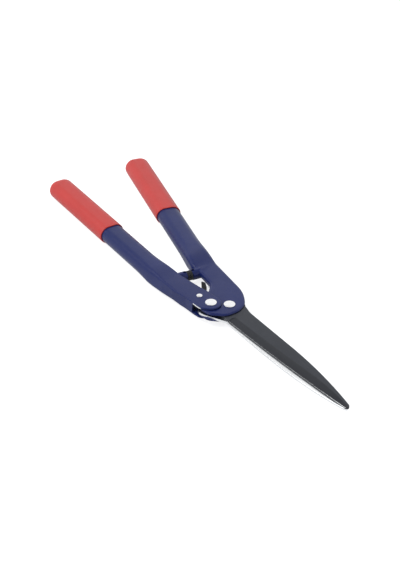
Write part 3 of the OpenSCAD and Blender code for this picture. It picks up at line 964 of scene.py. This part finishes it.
DRIVE_ARM = math.hypot(DRIVE_PIN.x - BLADE_PIVOT.x, DRIVE_PIN.y - BLADE_PIVOT.y)
SLOT_ANGLE = math.atan2(DRIVE_PIN.y - BLADE_PIVOT.y, DRIVE_PIN.x - BLADE_PIVOT.x)
PIVOT_ARM = math.hypot(BLADE_PIVOT.x - HANDLE_PIVOT.x, BLADE_PIVOT.y - HANDLE_PIVOT.y)
PIVOT_ANGLE = math.atan2(HANDLE_PIVOT.y - BLADE_PIVOT.y, HANDLE_PIVOT.x - BLADE_PIVOT.x)
BLADE_TRAVEL = math.radians(31)
SLOT_W = 8
WINDOW_HALF = 6
PRONG_W = 3.4


def upper_tail():
    """The upper blade's tail: its horn behind, and the two prongs beside the drive pin's slot."""
    slot_end = polar(DRIVE_ARM + 6, SLOT_ANGLE)
    prongs = [slot_end + polar(SLOT_W / 2 + PRONG_W, SLOT_ANGLE + side * math.pi / 2) for side in (-1, 1)]
    return closed([
        (-6, 15, 0), (-25, 3.4, 8), (-34, -3.4, 8), (-42.5, -4.6, 2.5), (-46, 1.2, 1.5), (-54.5, 5, 1.5),
        (-59.4, 2.8, 0.8), (-48, -4.6, 6), (*prongs[0], 2), (*prongs[1], 2), (-13, -26.8, 11),
        (2, -17.5, 0), (0, 0, 0)
    ])


UPPER_SHOULDER = [
    (-10, 10, 0), (0, -ROOT_R + 0.2, 0), (STRIP_START + 0.5, -17, 0), (STRIP_START + 0.5, 12.5, 0),
    (10, 14.7, 0)
]
LOWER_TANG = [
    (STRIP_START + 0.5, -17.5, 0), (STRIP_START + 0.5, 10.9, 0), (10, 13.6, 0), (-22, 13.5, 6), (-49, 7.6, 5),
    (-51.5, 1, 5), (-47.5, -4.5, 5), (-26.5, -16, 0), (-19, -32, 10.5), (-9, -32.2, 20), (-4, -29.9, 0),
    (3.5, -26, 20)
]


def window():
    """The arc window that lets the collar on the handle pivot through."""
    low, high = PIVOT_ANGLE - BLADE_TRAVEL - 0.03, PIVOT_ANGLE + 0.03
    start, end = math.degrees(low), math.degrees(high)
    path = arc((0, 0), PIVOT_ARM + WINDOW_HALF, start, end, 24)
    path += arc(polar(PIVOT_ARM, high), WINDOW_HALF, end, end + 180, 16)[1:-1]
    path += arc((0, 0), PIVOT_ARM - WINDOW_HALF, end, start, 24)
    path += arc(polar(PIVOT_ARM, low), WINDOW_HALF, start + 180, start + 360, 16)[1:-1]
    return path


def drive_slot():
    """The open slot that the sleeve on the drive pin runs in."""
    turn = math.degrees(SLOT_ANGLE)
    path = arc(polar(DRIVE_ARM - 0.4, SLOT_ANGLE), SLOT_W / 2, turn + 90, turn + 270, 24)
    side = polar(SLOT_W / 2, SLOT_ANGLE + math.pi / 2)
    far = polar(DRIVE_ARM + 20, SLOT_ANGLE)
    return path + [far - side, far + side]


def circle(middle, radius, steps=96):
    return arc(middle, radius, 0, 360, steps + 1)[:-1]


def upper_blade():
    """The upper blade with its round root, its tail, and the openings for bolts and pin."""
    blade = blade_front("upper_blade_ground", BLADE_REACH, upper_edge, upper_spine, 0)
    flats = [circle((0, 0), ROOT_R), closed(UPPER_SHOULDER), upper_tail()]
    combine(blade, [prism("flat", flat, 0, BLADE_T) for flat in flats], "UNION")
    holes = [circle((0, 0), BOLT_R + CLEARANCE), window(), drive_slot()]
    combine(blade, [prism("hole", hole, -1, BLADE_T + 1) for hole in holes], "DIFFERENCE")
    soften(merge_flats(blade), 0.15)
    place = Vector((BLADE_PIVOT.x, BLADE_PIVOT.y, bottom("upper_blade"))) * MM
    blade.data.transform(Matrix.Translation(place))
    return blade


def ground_faces(blade, bevel_shade, steel):
    """Gives the upper blade's ground facet a darker copy of its coating as painted shade, and shows
    bare steel on the narrow land honed along the cutting edge."""
    blade.data.materials.append(bevel_shade)
    blade.data.materials.append(steel)
    for face in blade.data.polygons:
        x = face.center.x / MM - BLADE_PIVOT.x
        y = face.center.y / MM - BLADE_PIVOT.y
        if x < STRIP_START or face.normal.z < 0.3 or face.normal.y > -0.02:
            continue
        face.material_index = 1
        if BEVEL_START + 1 < x < BLADE_REACH - 1 and y < upper_edge(x) + LAND_W:
            face.material_index = 2


def lower_blade():
    """The lower blade is ground underneath, so it is made upside down and turned over."""
    reach = BLADE_REACH - LOWER_TIP_SETBACK
    blade = blade_front("lower_blade_ground", reach, lambda x: -lower_edge(x), lambda x: -lower_spine(x), 1)
    flip = [(x, -y, r) for x, y, r in LOWER_TANG]
    pivot = (-BLADE_PIVOT.x, BLADE_PIVOT.y)
    combine(blade, [soften(prism("tang", closed(flip), 0, BLADE_T), TANG_CHAMFER, 1)], "UNION")
    holes = [circle((0, 0), BOLT_R + CLEARANCE), circle(pivot, BOLT_R + CLEARANCE)]
    combine(blade, [prism("hole", hole, -1, BLADE_T + 1) for hole in holes], "DIFFERENCE")
    soften(merge_flats(blade), 0.15)
    place = Vector((BLADE_PIVOT.x, BLADE_PIVOT.y, top("lower_blade"))) * MM
    blade.data.transform(Matrix.Translation(place) @ Matrix.Rotation(math.pi, 4, "X"))
    return blade


# ---------------------------------------------------------------- hardware

def dome(radius, z, height, rim, steps=14):
    """The profile of a flat domed head on a short upright rim, from its rim at z to its crown."""
    turn_in = 0.25 * rim
    profile = quarter(radius, z, 0.2 * rim, steps=4)
    profile += quarter(radius, z + rim, turn_in, down=True)
    start = radius - turn_in
    rise = height - rim
    round_r = (start ** 2 + rise ** 2) / (2 * rise)
    for turn in np.linspace(math.asin(start / round_r), 0, steps)[1:]:
        profile.append((round_r * math.sin(turn), z + height - round_r * (1 - math.cos(turn))))
    return profile


def pivot_bolt(name, node):
    """A bolt up through its nut, with a chamfered end and a domed head that doesn't fill the
    room above its seat."""
    at = centre(node)
    low = bottom(node)
    head_z = top(node) - HEAD_ROOM
    profile = [(0, low + 0.3), (1.2, low + 0.25), (BOLT_R - 0.9, low + 0.05), (BOLT_R - 0.1, low + 0.75)]
    profile += [(BOLT_R, low + 1.2), (BOLT_R, head_z)]
    profile += dome(HEAD_R, head_z, HEAD_RIM + DOME_RISE, HEAD_RIM)
    return lathe(name, profile, 128, (at.x, at.y, 0))


def riveted_pin():
    """The drive pin: a plain shank with a domed head formed at each end."""
    at = centre("drive_pin")
    low, high = bottom("drive_pin"), top("drive_pin")
    upper = dome(RIVET_R, high - RIVET_H, RIVET_H, RIVET_RIM, 10)
    lower = [(r, low + high - z) for r, z in reversed(upper)]
    profile = lower + [(DRIVE_PIN_R, low + RIVET_H), (DRIVE_PIN_R, high - RIVET_H)] + upper
    return lathe("drive_rivet", profile, 96, (at.x, at.y, 0))


def turned_ring(name, outer_r, inner_r, z0, z1, at, edge=0.25):
    """A washer or collar with its inner edges chamfered and its outer ones rounded."""
    mid = edge * 0.3
    profile = [
        (inner_r, z0 + edge), (inner_r + edge, z0), (outer_r - edge, z0), (outer_r - mid, z0 + mid),
        (outer_r, z0 + edge), (outer_r, z1 - edge), (outer_r - mid, z1 - mid), (outer_r - edge, z1),
        (inner_r + edge, z1), (inner_r, z1 - edge), (inner_r, z0 + edge)
    ]
    return lathe(name, profile, 96, (at.x, at.y, 0))


def hex_nut(name, node):
    """A hexagon nut with both faces chamfered and its bore countersunk."""
    at, low, high = centre(node), bottom(node), top(node)
    across = (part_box(node)[1].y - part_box(node)[0].y) / MM
    corner_r = across / 2 / math.cos(math.pi / 6)
    hexagon = [np.array([at.x, at.y]) + polar(corner_r, math.radians(60 * k)) for k in range(6)]
    nut = prism(name, hexagon, low, high)
    flat_r, wide = across / 2 - 0.1, corner_r + 0.6
    slope = (wide - flat_r) * 0.5
    cone = [(0, low), (flat_r, low), (wide, low + slope), (wide, high - slope), (flat_r, high), (0, high)]
    combine(nut, [lathe("cone", cone, 96, (at.x, at.y, 0))], "INTERSECT")
    sink = BOLT_R + 0.6
    bore = [
        (0, low - 1), (sink, low - 1), (sink, low), (BOLT_R, low + 0.6), (BOLT_R, high - 0.6), (sink, high),
        (sink, high + 1), (0, high + 1)
    ]
    combine(nut, [lathe("bore", bore, 96, (at.x, at.y, 0))], "DIFFERENCE")
    return merge_flats(nut)


def ring_pair(name, outer_r, inner_r, spans, at, edge):
    """Two rings that share one node, each from the foot to the top of its span."""
    first, second = (turned_ring(name, outer_r, inner_r, low, high, at, edge) for low, high in spans)
    return combine(first, [second], "UNION")


def side_washers():
    node = "handle_side_washers"
    low, high = bottom(node), top(node)
    spans = [(low, low + WASHER_T), (high - WASHER_T, high)]
    return ring_pair("side_washers", radius_of(node), BOLT_R + 0.1, spans, HANDLE_PIVOT, 0.12)


def drive_spacers():
    node, sleeve = "drive_spacers", "drive_sleeve"
    spans = [(bottom(node), bottom(sleeve)), (top(sleeve), top(node))]
    return ring_pair("drive_spacer_rings", SPACER_R, DRIVE_PIN_R + CLEARANCE, spans, DRIVE_PIN, 0.2)


def ring_for(node, name, inner_r, edge=0.25, lift=0):
    """A ring as wide and as high as a node of the frame, or starting a lift above its foot."""
    return turned_ring(name, radius_of(node), inner_r, bottom(node) + lift, top(node), centre(node), edge)


def stem_pin(side, word):
    at = stem_pin_place(side)
    half = BOSS_R - PIN_RECESS
    ends = quarter(PIN_R, MID_Z - half, 0.4, steps=4)
    profile = [(0, MID_Z - half)] + ends
    profile += [(r, 2 * MID_Z - z) for r, z in reversed(ends)] + [(0, MID_Z + half)]
    return lathe(word + "_pad_pin", profile, 48, (at.x, at.y, 0))


# ---------------------------------------------------------------- the object

def build_object():
    """Every piece with its node, body and material. The tube plugs keep the frame's own shape."""
    blue, red = powder_coat(), dipped_vinyl()
    dark, bright = dark_coating("dark blade coating"), bright_steel()
    plated, nylon, rubber, plastic = plated_steel(), natural_nylon(), black_rubber(), black_plastic()
    right, left, moving = "right side", "left side", "upper blade"
    bore = BOLT_R + CLEARANCE

    sheared_edge(piece(left_handle(), "left_handle", left, blue), bright)
    piece(right_handle(), "right_handle", right, blue)
    piece(grip("left_grip_skin", LEFT_NECK, LEFT_ANGLE), "left_grip", left, red, 40)
    piece(grip("right_grip_skin", RIGHT_NECK, RIGHT_ANGLE), "right_grip", right, red, 40)
    shown = piece(upper_blade(), "upper_blade", moving, dark, 8)
    # The ground facet gets the blade's coating 0.68 times as dark, as painted shade
    ground_faces(shown, dark_coating("bevel painted shade coating", 0.68), bright)
    piece(lower_blade(), "lower_blade", right, bright, 8)

    for place in ("blade", "handle"):
        node = place + "_pivot_"
        piece(pivot_bolt(place + "_bolt_domed", node + "bolt"), node + "bolt", right, plated)
        piece(hex_nut(place + "_nut_hex", node + "nut"), node + "nut", right, plated)
        washer = ring_for(node + "nut_washer", place + "_nut_ring", bore)
        piece(washer, node + "nut_washer", right, plated)
    thrust = ring_for("blade_thrust_washer", "thrust_ring", bore, 0.1)
    piece(thrust, "blade_thrust_washer", right, nylon)
    piece(side_washers(), "handle_side_washers", right, nylon)
    collar = ring_for("handle_pivot_collar", "pivot_collar_ring", bore)
    piece(collar, "handle_pivot_collar", right, plated)
    piece(riveted_pin(), "drive_pin", left, plated)
    # The sleeve passes over the lower blade's tang when the handles open
    sleeve = ring_for("drive_sleeve", "drive_sleeve_ring", DRIVE_PIN_R + CLEARANCE, lift=SLEEVE_LIFT)
    piece(sleeve, "drive_sleeve", left, plated)
    piece(drive_spacers(), "drive_spacers", left, plated)

    for side, word, body in ((-1, "left", left), (1, "right", right)):
        piece(buffer(side, word), word + "_buffer", body, rubber)
        piece(stem_pin(side, word), word + "_buffer_pin", body, plated)
        finish_with(frame["nodes"][word + "_tube_plug"], plastic)


# ---------------------------------------------------------------- studio

def aimed(name, data, place):
    """A camera or a lamp at a place, turned to the object."""
    obj = bpy.data.objects.new(name, data)
    obj.location = place
    obj.rotation_euler = (Vector(LOOK_AT) - obj.location).to_track_quat("-Z", "Y").to_euler()
    bpy.context.scene.collection.objects.link(obj)
    return obj


def camera():
    data = bpy.data.cameras.new("camera")
    data.sensor_fit = "HORIZONTAL"
    data.sensor_width = SENSOR_MM
    data.lens = LENS_MM
    data.clip_start = 0.01
    bpy.context.scene.camera = aimed("camera", data, CAMERA_AT)


def lamp():
    """A wide soft lamp, behind the handles, to their left and well above them."""
    data = bpy.data.lights.new("key", "AREA")
    data.shape = "RECTANGLE"
    data.size, data.size_y = LAMP_SIZE
    data.energy = LAMP_POWER
    aimed("key", data, LAMP_AT)


def light_path(tree, direct, reflected):
    """One strength for what the camera sees, another for what reflections and clear material see,
    and none for the light itself."""
    path = tree.nodes.new("ShaderNodeLightPath")
    rays = [("Is Camera Ray", direct), ("Is Glossy Ray", reflected), ("Is Transmission Ray", reflected)]
    total = None
    for name, strength in rays:
        share = tree.nodes.new("ShaderNodeMath")
        share.operation = "MULTIPLY_ADD"
        share.inputs[1].default_value = strength
        share.inputs[2].default_value = 0
        tree.links.new(path.outputs[name], share.inputs[0])
        if total:
            tree.links.new(total, share.inputs[2])
        total = share.outputs[0]
    return total


def floor_material():
    """A pale floor: white as seen, but dimmed where the object shades it."""
    material = bpy.data.materials.new("pale floor")
    material.use_nodes = True
    tree = material.node_tree
    shader = tree.nodes["Principled BSDF"]
    shader.inputs["Base Color"].default_value = (0.55, 0.55, 0.55, 1)
    shader.inputs["Roughness"].default_value = 0.9
    shader.inputs["Specular IOR Level"].default_value = 0.1
    shader.inputs["Emission Color"].default_value = WHITE
    tree.links.new(light_path(tree, FLOOR_GLOW, FLOOR_SHEEN), shader.inputs["Emission Strength"])
    return material


def floor():
    half = FLOOR_SIZE / 2 / MM
    corners = [(-half, -half, 0), (half, -half, 0), (half, half, 0), (-half, half, 0)]
    obj = new_object("floor", corners, [(0, 1, 2, 3)])
    obj.location.z = cad_box[0][2] - 0.0003
    finish_with(obj, floor_material())


def falling(tree, towards, span, first, last):
    """A value that goes from first to last as a direction's share towards one side goes through
    a span."""
    place = tree.nodes.new("ShaderNodeTexCoord")
    share = tree.nodes.new("ShaderNodeVectorMath")
    share.operation = "DOT_PRODUCT"
    share.inputs[1].default_value = Vector(towards).normalized()
    tree.links.new(place.outputs["Generated"], share.inputs[0])
    fall = tree.nodes.new("ShaderNodeMapRange")
    fall.interpolation_type = "SMOOTHSTEP"
    for key, value in zip(("From Min", "From Max", "To Min", "To Max"), (*span, first, last)):
        fall.inputs[key].default_value = value
    tree.links.new(share.outputs["Value"], fall.inputs["Value"])
    return fall.outputs["Result"]


def world():
    """Soft light on surfaces, mostly from above the grips' end, and a white backdrop that
    darkens overhead, for the camera and for reflections."""
    sky = bpy.data.worlds.new("studio")
    sky.use_nodes = True
    tree = sky.node_tree
    ambient = tree.nodes["Background"]
    ambient.inputs["Color"].default_value = (0.93, 0.96, 1, 1)
    glow = falling(tree, BRIGHT_SIDE, BRIGHT_SPAN, AMBIENT_LOW, AMBIENT_HIGH)
    tree.links.new(glow, ambient.inputs["Strength"])
    backdrop = tree.nodes.new("ShaderNodeBackground")
    tree.links.new(falling(tree, DARK_SIDE, DARK_SPAN, 1, CEILING), backdrop.inputs["Color"])
    mix = tree.nodes.new("ShaderNodeMixShader")
    tree.links.new(light_path(tree, 1, 1), mix.inputs["Fac"])
    tree.links.new(ambient.outputs[0], mix.inputs[1])
    tree.links.new(backdrop.outputs[0], mix.inputs[2])
    tree.links.new(mix.outputs[0], tree.nodes["World Output"].inputs["Surface"])
    bpy.context.scene.world = sky


camera()
bpy.context.scene.view_settings.view_transform = "Standard"
world()
floor()
lamp()
build_object()
